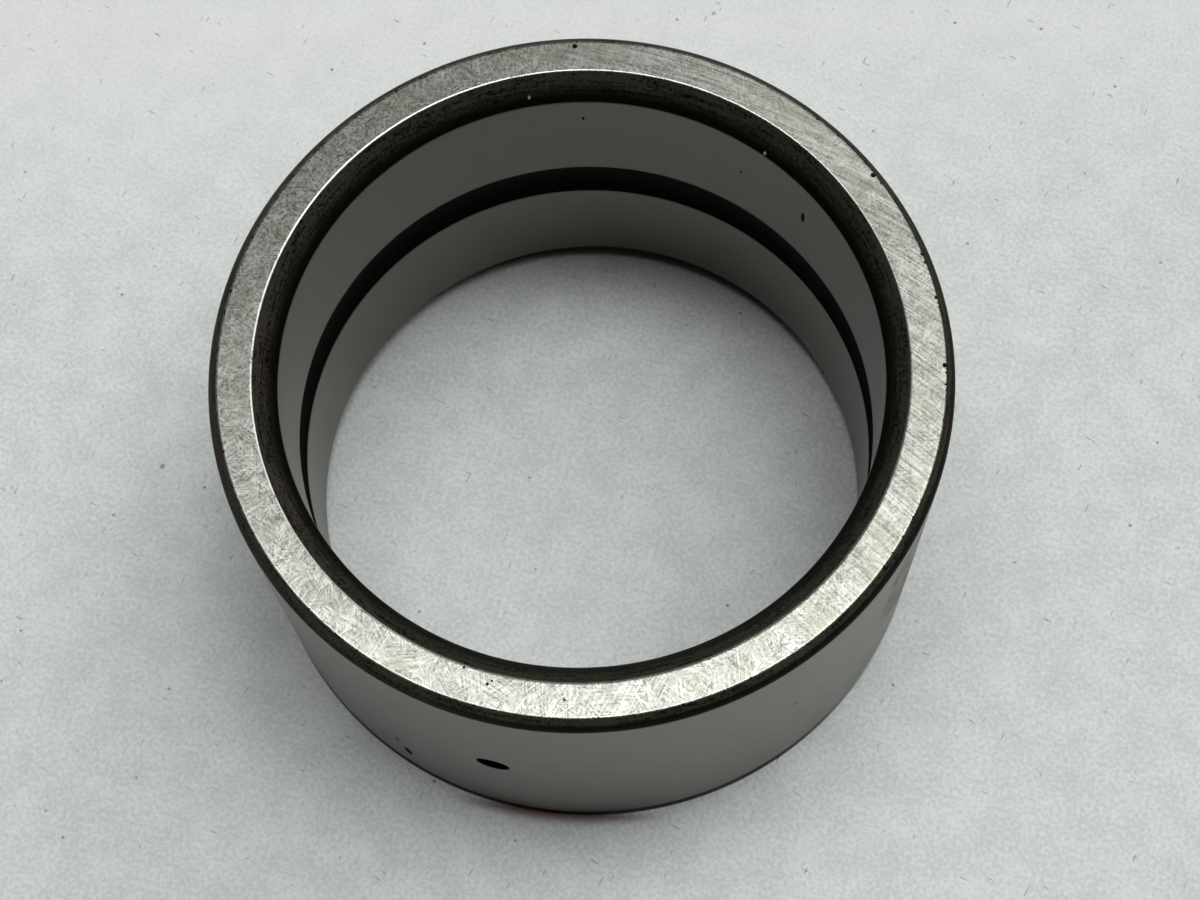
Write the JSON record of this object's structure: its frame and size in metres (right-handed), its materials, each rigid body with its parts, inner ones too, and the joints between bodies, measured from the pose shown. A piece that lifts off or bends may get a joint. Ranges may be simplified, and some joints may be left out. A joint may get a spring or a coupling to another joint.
{
  "type": "needle roller bearing inner ring",
  "caption": "Hardened steel inner ring of a needle roller bearing: a plain sleeve with a ground raceway outside, a lubrication groove round the bore and a radial oil hole.",
  "frame": {"origin": "on the ring's axis, in the plane of the lower end face", "axes": "+Z along the axis from the lower to the upper end face, -Y out through the oil hole"},
  "size_m": [0.0698, 0.0698, 0.0384],
  "materials": {
    "ground_steel": "ground bore, raceway and end faces; corners and groove left dark from heat treatment"
  },
  "bodies": {
    "root": {"inner_ring": "ground_steel"}
  },
  "joints": []
}
